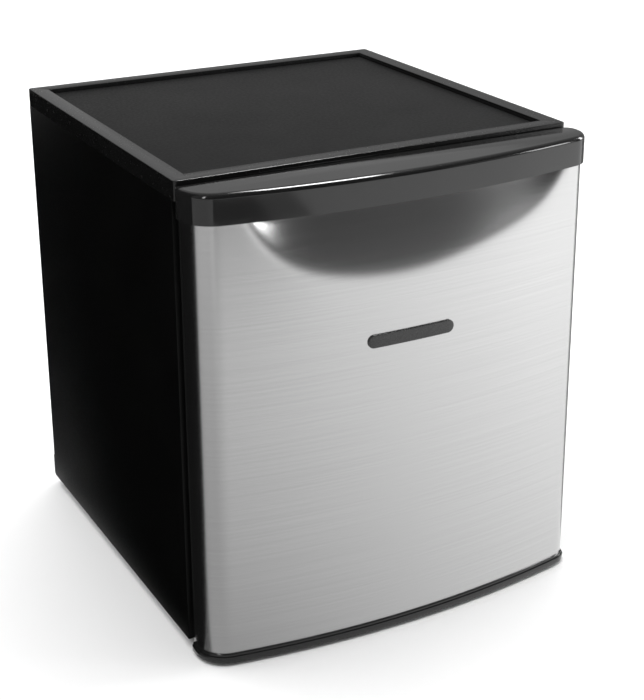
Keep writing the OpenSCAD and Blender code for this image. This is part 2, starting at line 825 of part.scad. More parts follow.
// Two pins riveted in the hinge plates
module hinge_pins() {
    color("silver") translate([pin_x, pin_y, 0]) {
        translate([0, 0, shell_z - 10]) cylinder(r = pin_r, h = 10 + plate_t);
        translate([0, 0, shell_z + plate_t]) cylinder(r = 4, h = 1.2);
        translate([0, 0, base_z - plate_t]) cylinder(r = pin_r, h = plate_t + 10);
        translate([0, 0, base_z - plate_t - 1.2]) cylinder(r = 4, h = 1.2);
    }
}

// Eight screws: four through each hinge plate
module hinge_screws() {
    color("silver") for (p = screw_places) translate([p[0], p[1], 0]) {
        translate([0, 0, shell_z - sheet_t]) cylinder(r = 2, h = plate_t + sheet_t);
        translate([0, 0, shell_z + plate_t]) cylinder(r = 3.8, h = 1.8);
        translate([0, 0, base_z - plate_t]) cylinder(r = 2, h = plate_t + 2);
        translate([0, 0, base_z - plate_t - 1.8]) cylinder(r = 3.8, h = 1.8);
    }
}

// Two nylon bushes in the door that turn on the pins
module hinge_bushes() {
    color("white") translate([pin_x, pin_y, 0]) difference() {
        union() {
            translate([0, 0, shell_z - 11.5]) cylinder(r = bush_r, h = 11.3);
            translate([0, 0, shell_z - 1]) cylinder(r = bush_r + 0.8, h = 0.8);
            translate([0, 0, base_z + 0.2]) cylinder(r = bush_r, h = 11.3);
            translate([0, 0, base_z + 0.2]) cylinder(r = bush_r + 0.8, h = 0.8);
        }
        cylinder(r = pin_r + running_gap, h = top_z);
    }
}

// ---- Door ----

// Points along an arc, from one angle to another
function arc_points(x, y, r, from, to, steps) =
    [for (i = [0:steps]) let (a = from + (to - from) * i / steps) [x + r * cos(a), y + r * sin(a)]];

// Plan of the door, drawn in by a margin: bowed front, round front corners, and a back whose
// hinge end is rounded, so that it clears the cabinet as it swings
module door_plan(inset = 0, back_inset = 0) {
    left = -half_w + inset;
    right = door_right - inset;
    rear = door_back_y - back_inset;
    free_r = max(free_rear_r - inset, 0.5);
    hinge_r = max(hinge_rear_r - inset, 0.5);
    bow_from = atan2(corner_y - bow_y, -corner_x);
    bow_to = atan2(hinge_corner_y - bow_y, hinge_corner_x);
    bow_steps = 24;
    trim = (bow_to - bow_from) / bow_steps;
    polygon(concat(
        arc_points(-corner_x, corner_y, door_corner_r - inset, -180, bow_from, 12),
        arc_points(0, bow_y, bow_r - inset, bow_from + trim, bow_to - trim, bow_steps - 2),
        arc_points(hinge_corner_x, hinge_corner_y, hinge_corner_r - inset, bow_to, 0, 12),
        arc_points(right - hinge_r, rear - hinge_r, hinge_r, 0, 90, 8),
        arc_points(left + free_r, rear - free_r, free_r, 90, 180, 4)
    ));
}

// Cutter for the handle scoop: a leaning cylinder of large radius in front of the door
module scoop(extra = 0) {
    translate([0, front_y + scoop_depth, cap_z0]) rotate([-scoop_tilt, 0, 0])
        translate([0, -scoop_r, -150]) cylinder(r = scoop_r + extra, h = 300, $fn = 720);
}

// Room that a hinge plate sweeps in the door as the door opens, between two heights
module hinge_slot(z0, z1) {
    w = plate_half + side_gap;
    a = 90 - door_open;
    reach = 60;
    start = [w * sin(a), -w * cos(a)];
    translate([pin_x, pin_y, z0]) linear_extrude(z1 - z0) {
        circle(w);
        polygon([[-w, 0], [-w, reach], [reach, reach], start + reach * [cos(a), sin(a)], start, [0, 0]]);
    }
}

// Brushed steel wrap: bowed front with the pressed scoop, round corners, sides and back flanges
module door_panel() {
    color("#b9bbbd") {
        difference() {
            union() {
                translate([0, 0, trim_z1]) linear_extrude(cap_z0 - trim_z1) difference() {
                    door_plan(steel_inset, 0);
                    door_plan(steel_inset + steel_t, steel_t);
                    translate([-liner_half, door_back_y - 5]) square([2 * liner_half, 10]);
                }
                // Tongue that goes up into the cap
                translate([0, 0, cap_z0 - eps]) linear_extrude(tuck + eps) difference() {
                    door_plan(steel_inset, cap_wall);
                    door_plan(steel_inset + steel_t, cap_wall);
                    translate([-half_w, pin_y - 1]) square([2 * door_right, 30]);
                }
            }
            scoop();
        }
        intersection() {
            translate([0, 0, cap_z0 - 100]) linear_extrude(pocket_z - cap_z0 + 100)
                door_plan(steel_inset, 0);
            difference() {
                scoop(steel_t);
                scoop();
            }
            slab([-half_w, half_w], [front_y, front_y + 60], [0, top_z]);
        }
    }
}

// Moulded cap: top, walls all round, a pocket behind its front lip and a block for the hinge
module door_top_cap() {
    color("#1a1a1b") difference() {
        translate([0, 0, cap_z0]) linear_extrude(cap_h) door_plan(0, 0);
        difference() {
            translate([0, 0, cap_z0 - 1]) linear_extrude(cap_h + 1 - 3) door_plan(cap_wall, cap_wall);
            // Ceiling of the finger pocket
            intersection() {
                translate([0, 0, pocket_z]) linear_extrude(2.5) door_plan(cap_wall, cap_wall);
                scoop(3);
            }
            // Block round the hinge
            slab([pin_x - 14, door_right], [pin_y - 14, door_back_y], [cap_z0 + tuck, cap_z1]);
        }
        slab([-liner_half, liner_half], [door_back_y - 3.5, door_back_y + 1], [0, cap_z0 + eps]);
        hinge_slot(shell_z - 1, shell_z + plate_t + 2);
        translate([pin_x, pin_y, shell_z - 11.5]) cylinder(r = bush_r, h = 20);
        translate([pin_x, pin_y, cap_z0 - 1]) cylinder(r = pin_r + 0.5, h = 20);
    }
}

// Block on the trim that holds the lower hinge bush, inside the steel
module trim_block() {
    intersection() {
        slab([pin_x - 26, pin_x + 5.2], [pin_y - 6, pin_y + 6], [trim_z0 + 2, trim_z1 + 11.5]);
        translate([0, 0, trim_z0]) linear_extrude(40) door_plan(steel_inset + steel_t, 3);
    }
}

// Moulded tray that closes the bottom of the door, wider than the steel
module door_bottom_trim() {
    color("#1a1a1b") difference() {
        union() {
            difference() {
                union() {
                    translate([0, 0, trim_z0]) linear_extrude(trim_h - 2.6) door_plan(0, 0);
                    translate([0, 0, trim_z0]) linear_extrude(trim_h) door_plan(1.4, 0);
                }
                translate([0, 0, trim_z0 + 2]) linear_extrude(trim_h) door_plan(steel_inset + steel_t, 3);
            }
            slab([pin_x - 26, pin_x + 5.2], [pin_y - 6, door_back_y - 3], [trim_z0 + 1, trim_z1]);
            trim_block();
        }
        hinge_slot(base_z - plate_t - 1.8, trim_z1);
        translate([pin_x, pin_y, base_z - plate_t - 2]) cylinder(r = bush_r, h = 16.7);
    }
}

// Foam between the steel and the liner
module door_foam() {
    color("#e9dfae") difference() {
        union() {
            translate([0, 0, trim_z0 + 2]) linear_extrude(cap_z0 + tuck - trim_z0 - 2)
                door_plan(steel_inset + steel_t, 3);
            translate([0, 0, cap_z0 + tuck]) linear_extrude(cap_h - tuck - 3)
                door_plan(cap_wall, cap_wall);
        }
        intersection() {
            scoop(steel_t);
            slab([-half_w, half_w], [front_y, back_y], [0, pocket_z + eps]);
        }
        intersection() {
            scoop(3);
            slab([-half_w, half_w], [front_y, back_y], [pocket_z, pocket_z + 2.5]);
        }
        slab([pin_x - 14, door_right], [pin_y - 14, door_back_y], [cap_z0 + tuck, top_z]);
        slab([pin_x - 26, door_right], [pin_y - 6, door_back_y], [0, trim_z1]);
        hinge_slot(0, trim_z1);
        trim_block();
    }
}

// Profile of the side wall of the bins, in Y and Z from the back plane of the door
module cheek_profile() {
    polygon([[0, bin_z0], [deep, bin_z0], [deep, bin_z0 + 75], [shallow, bin_z0 + 95],
        [shallow, middle_bin_z - 12], [mid, middle_bin_z - 2], [mid, middle_bin_z + 42],
        [shallow, middle_bin_z + 55], [shallow, upper_bin_z - 12], [mid, upper_bin_z - 2],
        [mid, upper_bin_z + 42], [shallow, upper_bin_z + 55], [shallow, bin_z1], [0, bin_z1]]);
}

// Side walls of the bins, moulded as one with the sheet of the liner, left and right
module door_bin_sides() {
    inner = bin_half - cheek_t;
    color("#f2f3f3") for (s = [-1, 1]) translate([0, door_back_y, 0])
        along_x(s < 0 ? -bin_half : inner, s < 0 ? -inner : bin_half) cheek_profile();
}

// White moulded inner side of the door: sheet, bin floors and a top wall
module door_liner() {
    inner = bin_half - cheek_t;
    color("#f2f3f3") {
        slab([-liner_half, liner_half], [door_back_y - 3, door_back_y], [trim_z1, cap_z0]);
        slab([-inner, inner], [door_back_y, door_back_y + deep - rail_t], [bin_z0, bin_z0 + 3]);
        for (z = [middle_bin_z, upper_bin_z])
            slab([-inner, inner], [door_back_y, door_back_y + mid - rail_t], [z, z + 3]);
        slab([-inner, inner], [door_back_y, door_back_y + shallow], [bin_z1 - 3, bin_z1]);
    }
}

// Front of a bin: a strip between the side walls
module bin_rail(depth, z, h) {
    inner = bin_half - cheek_t;
    color("#dfe4e6") slab([-inner, inner], [door_back_y + depth - rail_t, door_back_y + depth], [z, z + h]);
}

module bin_rail_upper() {
    bin_rail(mid, upper_bin_z, 38);
}

module bin_rail_middle() {
    bin_rail(mid, middle_bin_z, 38);
}

module bottle_rail() {
    bin_rail(deep, bin_z0, 66);
}

// Frame between the door and the cabinet, drawn in X and Z and drawn in by a margin
module gasket_ring(inset) {
    w = gasket_w - 2 * inset;
    difference() {
        round_rect([-gasket_x + inset, gasket_x - inset], [gasket_z0 + inset, gasket_z1 - inset], 12);
        round_rect([-gasket_x + inset + w, gasket_x - inset - w],
            [gasket_z0 + inset + w, gasket_z1 - inset - w], 4);
    }
}

// Soft seal, hollow towards the door
module door_gasket() {
    color("#3a3a3c") difference() {
        along_y(door_back_y, cab_y - gasket_gap) gasket_ring(0);
        along_y(door_back_y - 1, cab_y - gasket_gap - 1.2) gasket_ring(2);
    }
}

// Magnetic strip in the seal
module gasket_magnet() {
    color("#4a3a30") along_y(cab_y - gasket_gap - 4.2, cab_y - gasket_gap - 1.2) gasket_ring(2);
}

// Plain plate on the front of the door, with round ends, bent to the bow
module door_badge() {
    z = base_z + 323;
    color("#2b2b2d") intersection() {
        linear_extrude(top_z) difference() {
            door_plan(steel_inset - 1.6, 0);
            door_plan(steel_inset, 0);
        }
        along_y(front_y - 1, front_y + 20) round_rect([-48, 52], [z - 7, z + 7], 6.9);
    }
}

worktop_frame();
worktop_panel();
side_panel_left();
side_panel_right();
top_sheet();
bottom_front_rail();
bottom_panel();
back_panel();
compressor_niche_sheet();
compressor_base();
foam_insulation();
inner_liner();
evaporator_plate();
evaporator_spacers();
evaporator_screws();
drip_trough();
drain_tube();
evaporation_tray();
thermostat_housing();
thermostat_body();
thermostat_shaft();
thermostat_knob();
thermostat_capillary();
thermostat_lead();
condenser_tube();
compressor();
compressor_foot_plate();
compressor_grommets();
compressor_bolts();
relay_cover();
filter_drier();
suction_tube();
discharge_tube();
expansion_capillary();
cord_gland();
wire_shelf_full();
wire_shelf_half();
front_foot_left();
front_foot_right();
rear_feet();
top_hinge_bracket();
bottom_hinge_bracket();
hinge_pins();
hinge_screws();
back_panel_screws();
door_panel();
door_top_cap();
door_bottom_trim();
door_foam();
door_liner();
door_bin_sides();
bin_rail_upper();
bin_rail_middle();
bottle_rail();
door_gasket();
gasket_magnet();
hinge_bushes();
door_badge();
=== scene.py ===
import json
import math

import bmesh
import bpy
import numpy as np
from mathutils import Matrix, Vector


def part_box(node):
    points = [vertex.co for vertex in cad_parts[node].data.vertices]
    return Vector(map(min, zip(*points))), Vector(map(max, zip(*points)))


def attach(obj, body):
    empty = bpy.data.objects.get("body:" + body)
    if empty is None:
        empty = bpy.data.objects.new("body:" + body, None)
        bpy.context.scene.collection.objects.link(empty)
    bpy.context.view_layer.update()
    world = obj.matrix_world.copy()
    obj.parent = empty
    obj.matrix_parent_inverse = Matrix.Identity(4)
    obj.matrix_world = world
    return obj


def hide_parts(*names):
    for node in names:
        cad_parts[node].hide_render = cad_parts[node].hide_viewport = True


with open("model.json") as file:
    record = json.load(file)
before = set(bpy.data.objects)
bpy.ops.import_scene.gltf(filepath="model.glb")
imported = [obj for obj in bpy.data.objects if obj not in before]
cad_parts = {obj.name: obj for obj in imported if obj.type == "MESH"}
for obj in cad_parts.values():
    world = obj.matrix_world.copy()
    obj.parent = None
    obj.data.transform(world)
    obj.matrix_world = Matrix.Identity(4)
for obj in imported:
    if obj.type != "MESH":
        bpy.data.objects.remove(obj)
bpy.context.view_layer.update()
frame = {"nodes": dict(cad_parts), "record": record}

NODES = frame["nodes"]
scene = bpy.context.scene
scene.view_settings.view_transform = "Standard"
scene.view_settings.look = "None"


# ---------------------------------------------------------------- camera, floor and light

def make_camera():
    """A long lens a little above and to the left of the front."""
    azimuth, elevation, roll = (math.radians(v) for v in (-27.983, 19.963, -0.308))
    back = Vector((math.sin(azimuth) * math.cos(elevation), -math.cos(azimuth) * math.cos(elevation),
                   math.sin(elevation)))
    right = (-back).cross(Vector((0, 0, 1))).normalized()
    up = right.cross(-back)
    right, up = (right * math.cos(roll) + up * math.sin(roll),
                 -right * math.sin(roll) + up * math.cos(roll))
    data = bpy.data.cameras.new("camera")
    data.sensor_width = 36
    data.sensor_fit = "AUTO"
    data.lens = 80.26
    data.shift_y = -0.1143
    data.clip_end = 100
    obj = bpy.data.objects.new("camera", data)
    place = (-0.7575, -1.48295, 0.93043)
    obj.matrix_world = Matrix.Translation(place) @ Matrix((right, up, back)).transposed().to_4x4()
    scene.collection.objects.link(obj)
    scene.camera = obj


def area_light(name, place, target, size, power, in_gloss=True):
    """A rectangular light aimed at a target; in_gloss says whether reflections show it."""
    data = bpy.data.lights.new(name, "AREA")
    data.shape = "RECTANGLE"
    data.size, data.size_y = size
    data.energy = power
    obj = bpy.data.objects.new(name, data)
    obj.location = place
    obj.rotation_euler = (Vector(target) - Vector(place)).to_track_quat("-Z", "Y").to_euler()
    obj.visible_camera = False
    obj.visible_glossy = in_gloss
    scene.collection.objects.link(obj)


def make_world():
    """Soft surroundings, darker in front of the object and lighter behind it."""
    world = bpy.data.worlds.new("studio")
    scene.world = world
    world.use_nodes = True
    tree = world.node_tree
    coords = tree.nodes.new("ShaderNodeTexCoord")
    split = tree.nodes.new("ShaderNodeSeparateXYZ")
    ramp = tree.nodes.new("ShaderNodeMapRange")
    for socket, value in (("From Min", -0.7), ("From Max", 0.6), ("To Min", 0.04), ("To Max", 0.42)):
        ramp.inputs[socket].default_value = value
    tree.links.new(coords.outputs["Generated"], split.inputs["Vector"])
    tree.links.new(split.outputs["Y"], ramp.inputs["Value"])
    tree.links.new(ramp.outputs["Result"], tree.nodes["Background"].inputs["Strength"])
    tree.nodes["Background"].inputs["Color"].default_value = (1, 1, 1, 1)


CARD_LEFT, CARD_RIGHT = math.radians(-40), math.radians(50)
CARD_NEAR, CARD_FAR = 0.35, 1.5


def studio_card(name, corners, low, high, near_light=1.0, far_light=1.0):
    """A card that only reflections see. Its light goes from low at CARD_LEFT, an angle round the
    object, to high at CARD_RIGHT, and is multiplied by near_light at CARD_NEAR to far_light at
    CARD_FAR, both distances from the origin."""
    mesh = bpy.data.meshes.new(name)
    mesh.from_pydata(corners, [], [(i, i + 1, i + 2, i + 3) for i in range(0, len(corners), 4)])
    material = bpy.data.materials.new(name)
    material.use_nodes = True
    tree = material.node_tree
    tree.nodes.clear()

    def node(kind, operation=None):
        made = tree.nodes.new("ShaderNode" + kind)
        if operation:
            made.operation = operation
        return made

    def span(value, *numbers):
        made = node("MapRange")
        for socket, number in zip(("From Min", "From Max", "To Min", "To Max"), numbers):
            made.inputs[socket].default_value = number
        tree.links.new(value, made.inputs["Value"])
        return made.outputs["Result"]

    place, split = node("TexCoord").outputs["Object"], node("SeparateXYZ")
    tree.links.new(place, split.inputs["Vector"])
    ahead, angle = node("Math", "MULTIPLY"), node("Math", "ARCTAN2")
    ahead.inputs[1].default_value = -1
    tree.links.new(split.outputs["Y"], ahead.inputs[0])
    tree.links.new(split.outputs["X"], angle.inputs[0])
    tree.links.new(ahead.outputs["Value"], angle.inputs[1])
    reach = node("VectorMath", "LENGTH")
    tree.links.new(place, reach.inputs[0])
    both = node("Math", "MULTIPLY")
    tree.links.new(span(angle.outputs["Value"], CARD_LEFT, CARD_RIGHT, low, high), both.inputs[0])
    tree.links.new(span(reach.outputs["Value"], CARD_NEAR, CARD_FAR, near_light, far_light), both.inputs[1])
    light, surface = node("Emission"), node("OutputMaterial")
    tree.links.new(both.outputs["Value"], light.inputs["Strength"])
    tree.links.new(light.outputs["Emission"], surface.inputs["Surface"])
    mesh.materials.append(material)
    obj = bpy.data.objects.new(name, mesh)
    for ray in ("camera", "diffuse", "shadow", "transmission", "volume_scatter"):
        setattr(obj, "visible_" + ray, False)
    scene.collection.objects.link(obj)


CARD_Z = 0.004
SHADE_Z = 0.008
CABINET_SIDE = 0.228


def level(z, *outline):
    """Corners of a card that lies flat at a height."""
    return [(x, y, z) for x, y in outline]


def beside(x, y0, y1, height):
    """Corners of a card that stands beside the object, and of its foot on the floor."""
    foot = math.copysign(CABINET_SIDE, x)
    return [(x, y0, 0), (x, y1, 0), (x, y1, height), (x, y0, height),
            *level(CARD_Z, (x, y0), (foot, y0), (foot, y1), (x, y1))]


make_camera()
make_world()
area_light("key", (2.9, -0.5, 1.3), (0, -0.2, 0.3), (1.0, 1.6), 45)
area_light("top", (0.0, 2.2, 4.0), (0, 2.2, 0), (8.0, 8.0), 520, in_gloss=False)
area_light("strip", (-1.9, -1.6, 1.7), (0, -0.1, 0.3), (0.35, 1.6), 10)
area_light("side_box", (1.95, -1.55, 0.95), (0, -0.2, 0.45), (0.35, 0.7), 6)
# A card seen only in reflections that stands in for the floor the steel mirrors, glowing with painted light
# that grows from left to right and from near to far; and a dark card along the left side of the cabinet,
# which paints shade into what that side mirrors.
studio_card("front_card", level(CARD_Z, (-3, -3.5), (3.5, -3.5), (3.5, -0.2), (-3, -0.2)),
            0.52, 1.22, 0.84, 1.17)
studio_card("left_flag", beside(-0.5, -0.22, 3.0, 1.2), 0.004, 0.004)
# A bright line on the cap's front edge, and a glow round the highlight in the scoop.
studio_card("edge_card", level(2.2, (0.32, -0.7), (0.83, -0.7), (0.83, 0.1), (0.32, 0.1)), 26, 26)
studio_card("pocket_card", [(1.05, -1.65, 0.58), (1.42, -1.33, 0.58), (1.42, -1.33, 0.86),
                            (1.05, -1.65, 0.86)], 0.5, 0.5)
# Dim cards far out, seen only in reflections, which paint shade into the floor that the left end of the cap
# mirrors.
studio_card("far_shade", level(SHADE_Z, (-1.2, -2.7), (0.16, -2.7), (0.11, -1.62), (-0.8, -1.62)),
            0.12, 0.12)
studio_card("far_half_shade", level(SHADE_Z, (0.16, -2.7), (0.42, -2.7), (0.30, -1.62), (0.11, -1.62)),
            0.42, 0.42)
studio_card("right_card", beside(1.0, -0.19, 3.0, 1.0), 0.28, 0.28)


# ---------------------------------------------------------------- materials

class Shader:
    """A node tree round one principled shader, read in the object's own coordinates."""

    def __init__(self, name, metallic=0.0, specular=0.5, coat=0.0, coat_rough=0.1, anisotropic=0.0,
                 sheen=0.0):
        self.material = bpy.data.materials.new(name)
        self.material.use_nodes = True
        self.tree = self.material.node_tree
        self.main = self.tree.nodes["Principled BSDF"]
        for socket, value in (("Metallic", metallic), ("Specular IOR Level", specular),
                              ("Coat Weight", coat), ("Coat Roughness", coat_rough),
                              ("Anisotropic", anisotropic), ("Sheen Weight", sheen)):
            self.main.inputs[socket].default_value = value
        self.place = self.node("ShaderNodeTexCoord").outputs["Object"]
        self.height = None

    def node(self, kind, **values):
        made = self.tree.nodes.new(kind)
        for key, value in values.items():
            setattr(made, key, value)
        return made

    def link(self, a, b):
        self.tree.links.new(a, b)

    def stretched(self, scale):
        mapping = self.node("ShaderNodeMapping")
        mapping.inputs["Scale"].default_value = scale
        self.link(self.place, mapping.inputs["Vector"])
        return mapping.outputs["Vector"]

    def noise(self, scale, stretch=None, detail=3.0, rough=0.55):
        made = self.node("ShaderNodeTexNoise")
        made.inputs["Scale"].default_value = scale
        made.inputs["Detail"].default_value = detail
        made.inputs["Roughness"].default_value = rough
        self.link(self.stretched(stretch) if stretch else self.place, made.inputs["Vector"])
        return made.outputs["Fac"]

    def cells(self, scale, feature="F1", output="Distance"):
        made = self.node("ShaderNodeTexVoronoi", feature=feature)
        made.inputs["Scale"].default_value = scale
        self.link(self.place, made.inputs["Vector"])
        return made.outputs[output]

    def span(self, value, low, high, from_low=0.3, from_high=0.7):
        made = self.node("ShaderNodeMapRange")
        for socket, number in (("From Min", from_low), ("From Max", from_high), ("To Min", low),
                               ("To Max", high)):
            made.inputs[socket].default_value = number
        self.link(value, made.inputs["Value"])
        return made.outputs["Result"]

    def colour(self, value, dark, light, low=0.3, high=0.7):
        ramp = self.node("ShaderNodeValToRGB")
        ramp.color_ramp.elements[0].position = low
        ramp.color_ramp.elements[1].position = high
        ramp.color_ramp.elements[0].color = (*dark, 1)
        ramp.color_ramp.elements[1].color = (*light, 1)
        self.link(value, ramp.inputs["Fac"])
        self.link(ramp.outputs["Color"], self.main.inputs["Base Color"])

    def rough(self, value, low, high):
        self.link(self.span(value, low, high), self.main.inputs["Roughness"])

    def bump(self, value, distance, strength=1.0):
        made = self.node("ShaderNodeBump")
        made.inputs["Strength"].default_value = strength
        made.inputs["Distance"].default_value = distance
        self.link(value, made.inputs["Height"])
        if self.height:
            self.link(self.height, made.inputs["Normal"])
        self.height = made.outputs["Normal"]
        self.link(self.height, self.main.inputs["Normal"])


def grey(value, warm=0.0):
    return (value * (1 + warm), value, value * (1 - warm))


def plain(name, dark, light, rough, grain, bump, patch=14, **values):
    """Colour from broad patches; roughness and relief from a fine grain. The scales grain and patch
    are per metre, and bump is the relief's height in metres."""
    s = Shader(name, **values)
    s.colour(s.noise(patch), dark, light)
    fine = s.noise(grain, detail=4)
    s.rough(fine, *rough)
    s.bump(fine, bump)
    return s.material


def brushed_steel():
    """Steel brushed along its width, with highlights drawn out across the brush lines."""
    s = Shader("brushed_steel", metallic=1.0, anisotropic=0.5)
    lines = s.noise(1.0, (7, 7, 2600), detail=4, rough=0.6)
    long_lines = s.noise(1.0, (1.6, 1.6, 620), detail=3)
    s.colour(s.noise(1.0, (4, 4, 900), detail=4), grey(0.585), grey(0.635))
    s.rough(long_lines, 0.235, 0.265)
    s.bump(lines, 0.000004, 0.1)
    s.main.inputs["Anisotropic Rotation"].default_value = 0.25
    tangent = s.node("ShaderNodeTangent", direction_type="RADIAL", axis="Z")
    s.link(tangent.outputs["Tangent"], s.main.inputs["Tangent"])
    return s.material


def spangled_zinc():
    """Galvanised sheet with its crystal pattern."""
    s = Shader("zinc_sheet", metallic=1.0)
    cells = s.cells(90, output="Color")
    s.colour(cells, grey(0.40), grey(0.56), 0.0, 1.0)
    s.rough(cells, 0.34, 0.52)
    s.bump(s.noise(420), 0.00004)
    return s.material


def leather_grain():
    """Moulded panel with the fine pebble grain of a worktop."""
    s = Shader("black_textured", specular=0.13)
    pebbles = s.cells(760, feature="SMOOTH_F1")
    s.colour(s.noise(16), grey(0.006), grey(0.0085))
    s.rough(s.noise(300), 0.46, 0.60)
    s.bump(pebbles, 0.00010, 0.8)
    s.bump(s.noise(70), 0.00012, 0.4)
    return s.material


def foam():
    """Rigid foam with open cells."""
    s = Shader("foam", specular=0.2)
    s.colour(s.noise(30), (0.66, 0.55, 0.30), (0.80, 0.71, 0.44))
    s.rough(s.noise(200), 0.8, 0.95)
    s.bump(s.cells(420), 0.0006)
    return s.material


MATERIALS = {
    "black_gloss": plain("black_gloss", grey(0.003), grey(0.005), (0.20, 0.28), 260, 0.00003, coat=0.1),
    "black_textured": leather_grain(),
    "black_paint": plain("black_paint", grey(0.0015), grey(0.0022), (0.34, 0.42), 620, 0.00005,
                         specular=0.2),
    "zinc_sheet": spangled_zinc(),
    "foam": foam(),
    "white_liner": plain("white_liner", grey(0.80), grey(0.83), (0.24, 0.30), 160, 0.000008),
    "evaporator": plain("evaporator", grey(0.60), grey(0.70), (0.30, 0.42), 300, 0.00005, metallic=1.0),
    "white_plastic": plain("white_plastic", grey(0.70), grey(0.76), (0.32, 0.42), 500, 0.00004),
    "screws": plain("screws", grey(0.50), grey(0.64), (0.24, 0.36), 900, 0.00002, patch=200,
                    metallic=1.0),
    "grey_pipe": plain("grey_pipe", grey(0.45), grey(0.52), (0.40, 0.50), 400, 0.00003),
    "copper": plain("copper", (0.62, 0.27, 0.14), (0.80, 0.42, 0.24), (0.25, 0.42), 300, 0.00003,
                    patch=60, metallic=1.0),
    "black_rubber": plain("black_rubber", grey(0.010), grey(0.016), (0.62, 0.75), 700, 0.00006,
                          specular=0.3),
    "cable": plain("cable", grey(0.015), grey(0.022), (0.50, 0.60), 500, 0.00003),
    "hinge_steel": plain("hinge_steel", grey(0.055), grey(0.075), (0.34, 0.46), 600, 0.00003,
                         specular=0.5),
    "chrome_wire": plain("chrome_wire", grey(0.70), grey(0.80), (0.08, 0.18), 240, 0.00001, patch=50,
                         metallic=1.0),
    "brushed_steel": brushed_steel(),
    "cap_plastic": plain("cap_plastic", grey(0.008), grey(0.011), (0.08, 0.12), 220, 0.00001,
                         coat=0.35),
    "rail_plastic": plain("rail_plastic", (0.60, 0.64, 0.66), (0.66, 0.70, 0.72), (0.12, 0.2), 200,
                          0.00002),
    "gasket": plain("gasket", grey(0.016), grey(0.024), (0.55, 0.68), 600, 0.00004, sheen=0.2),
    "magnet": plain("magnet", (0.03, 0.02, 0.016), (0.05, 0.034, 0.026), (0.6, 0.75), 600, 0.00003),
    "nylon": plain("nylon", grey(0.66), grey(0.74), (0.35, 0.5), 500, 0.00002),
    "badge": plain("badge", grey(0.014), grey(0.02), (0.22, 0.32), 420, 0.00002, coat=0.3),
}
SLOT_OF = {row["node"]: row["material_slot"] for row in frame["record"]["subparts"]}
for node, obj in NODES.items():
    obj.data.materials.clear()
    obj.data.materials.append(MATERIALS[SLOT_OF[node]])


# ---------------------------------------------------------------- helpers for pieces

def add_object(name, mesh, slot, body, *nodes, sharp=35):
    """Links a piece, gives it its material, and lets it ride on its body and stand for its nodes."""
    mesh.materials.clear()
    mesh.materials.append(MATERIALS[slot])
    mesh.polygons.foreach_set("use_smooth", [True] * len(mesh.polygons))
    mesh.set_sharp_from_angle(angle=math.radians(sharp))
    obj = bpy.data.objects.new(name, mesh)
    scene.collection.objects.link(obj)
    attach(obj, body)
    if nodes:
        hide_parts(*nodes)


def body_of(node):
    return next(b for b, members in frame["record"]["behaviour"]["bodies"].items() if node in members)


MERGE = 0.00001
FLAT = math.radians(0.8)
EDGE_ANGLE = math.radians(25)


def cad_copy(node):
    """A CAD node's mesh in bmesh, with its flat faces joined up."""
    bm = bmesh.new()
    bm.from_mesh(NODES[node].data)
    bmesh.ops.remove_doubles(bm, verts=bm.verts, dist=MERGE)
    bmesh.ops.dissolve_limit(bm, angle_limit=FLAT, verts=bm.verts, edges=bm.edges)
    return bm


def mesh_from(bm, name):
    mesh = bpy.data.meshes.new(name)
    bm.to_mesh(mesh)
    bm.free()
    return mesh


def outward(bm, name):
    """The finished mesh, with its faces turned outward."""
    bmesh.ops.recalc_face_normals(bm, faces=bm.faces)
    return mesh_from(bm, name)


def bridge(bm, rings):
    """Faces between each closed ring of vertices and the next."""
    for this, after in zip(rings, rings[1:]):
        for k in range(len(this)):
            m = (k + 1) % len(this)
            bm.faces.new((this[k], this[m], after[m], after[k]))


def cap_ends(bm, rings):
    bm.faces.new(rings[0])
    bm.faces.new(rings[-1])


def softened(node, width):
    """A copy of a CAD node with its edges rounded, which replaces it."""
    bm = cad_copy(node)
    edges = [e for e in bm.edges if e.is_manifold and e.calc_face_angle(0) > EDGE_ANGLE]
    if edges:
        bmesh.ops.bevel(bm, geom=edges, offset=width, segments=3, profile=0.5,
                        affect="EDGES", clamp_overlap=True)
    name = node + "_finish"
    add_object(name, mesh_from(bm, name), SLOT_OF[node], body_of(node), node)


def near(value, target, slack):
    return abs(value - target) < slack


# ---------------------------------------------------------------- door

CAP_LOW, CAP_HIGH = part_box("door_top_cap")
DOOR_LEFT, DOOR_RIGHT = CAP_LOW.x, CAP_HIGH.x
FRONT_Y, DOOR_BACK_Y = CAP_LOW.y, CAP_HIGH.y
CAP_Z0, CAP_Z1 = CAP_LOW.z, CAP_HIGH.z
LINER_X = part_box("door_liner")[1].x
HINGE_Y = -0.2074
BOW_R = 1.100
FREE_CORNER_R = 0.035
HINGE_CORNER_R = 0.026
FREE_REAR_R = 0.002
HINGE_REAR_R = 0.012
LEAST_R = 0.0005
STEEL_INSET = 0.003
STEEL_T = 0.0008
BOW_STEP = 0.003
QUARTER = math.pi / 2

# Centres of the bow and of the two front corners, which the bow touches.
BOW_Y = FRONT_Y + BOW_R
FREE_X, HINGE_X = DOOR_LEFT + FREE_CORNER_R, DOOR_RIGHT - HINGE_CORNER_R
FREE_CORNER_Y = BOW_Y - math.sqrt((BOW_R - FREE_CORNER_R) ** 2 - FREE_X ** 2)
HINGE_CORNER_Y = BOW_Y - math.sqrt((BOW_R - HINGE_CORNER_R) ** 2 - HINGE_X ** 2)


def arc(x, y, r, start, end, steps):
    """Points along an arc; the angles are in radians."""
    turns = [start + (end - start) * i / steps for i in range(steps + 1)]
    return [(x + r * math.cos(a), y + r * math.sin(a)) for a in turns]


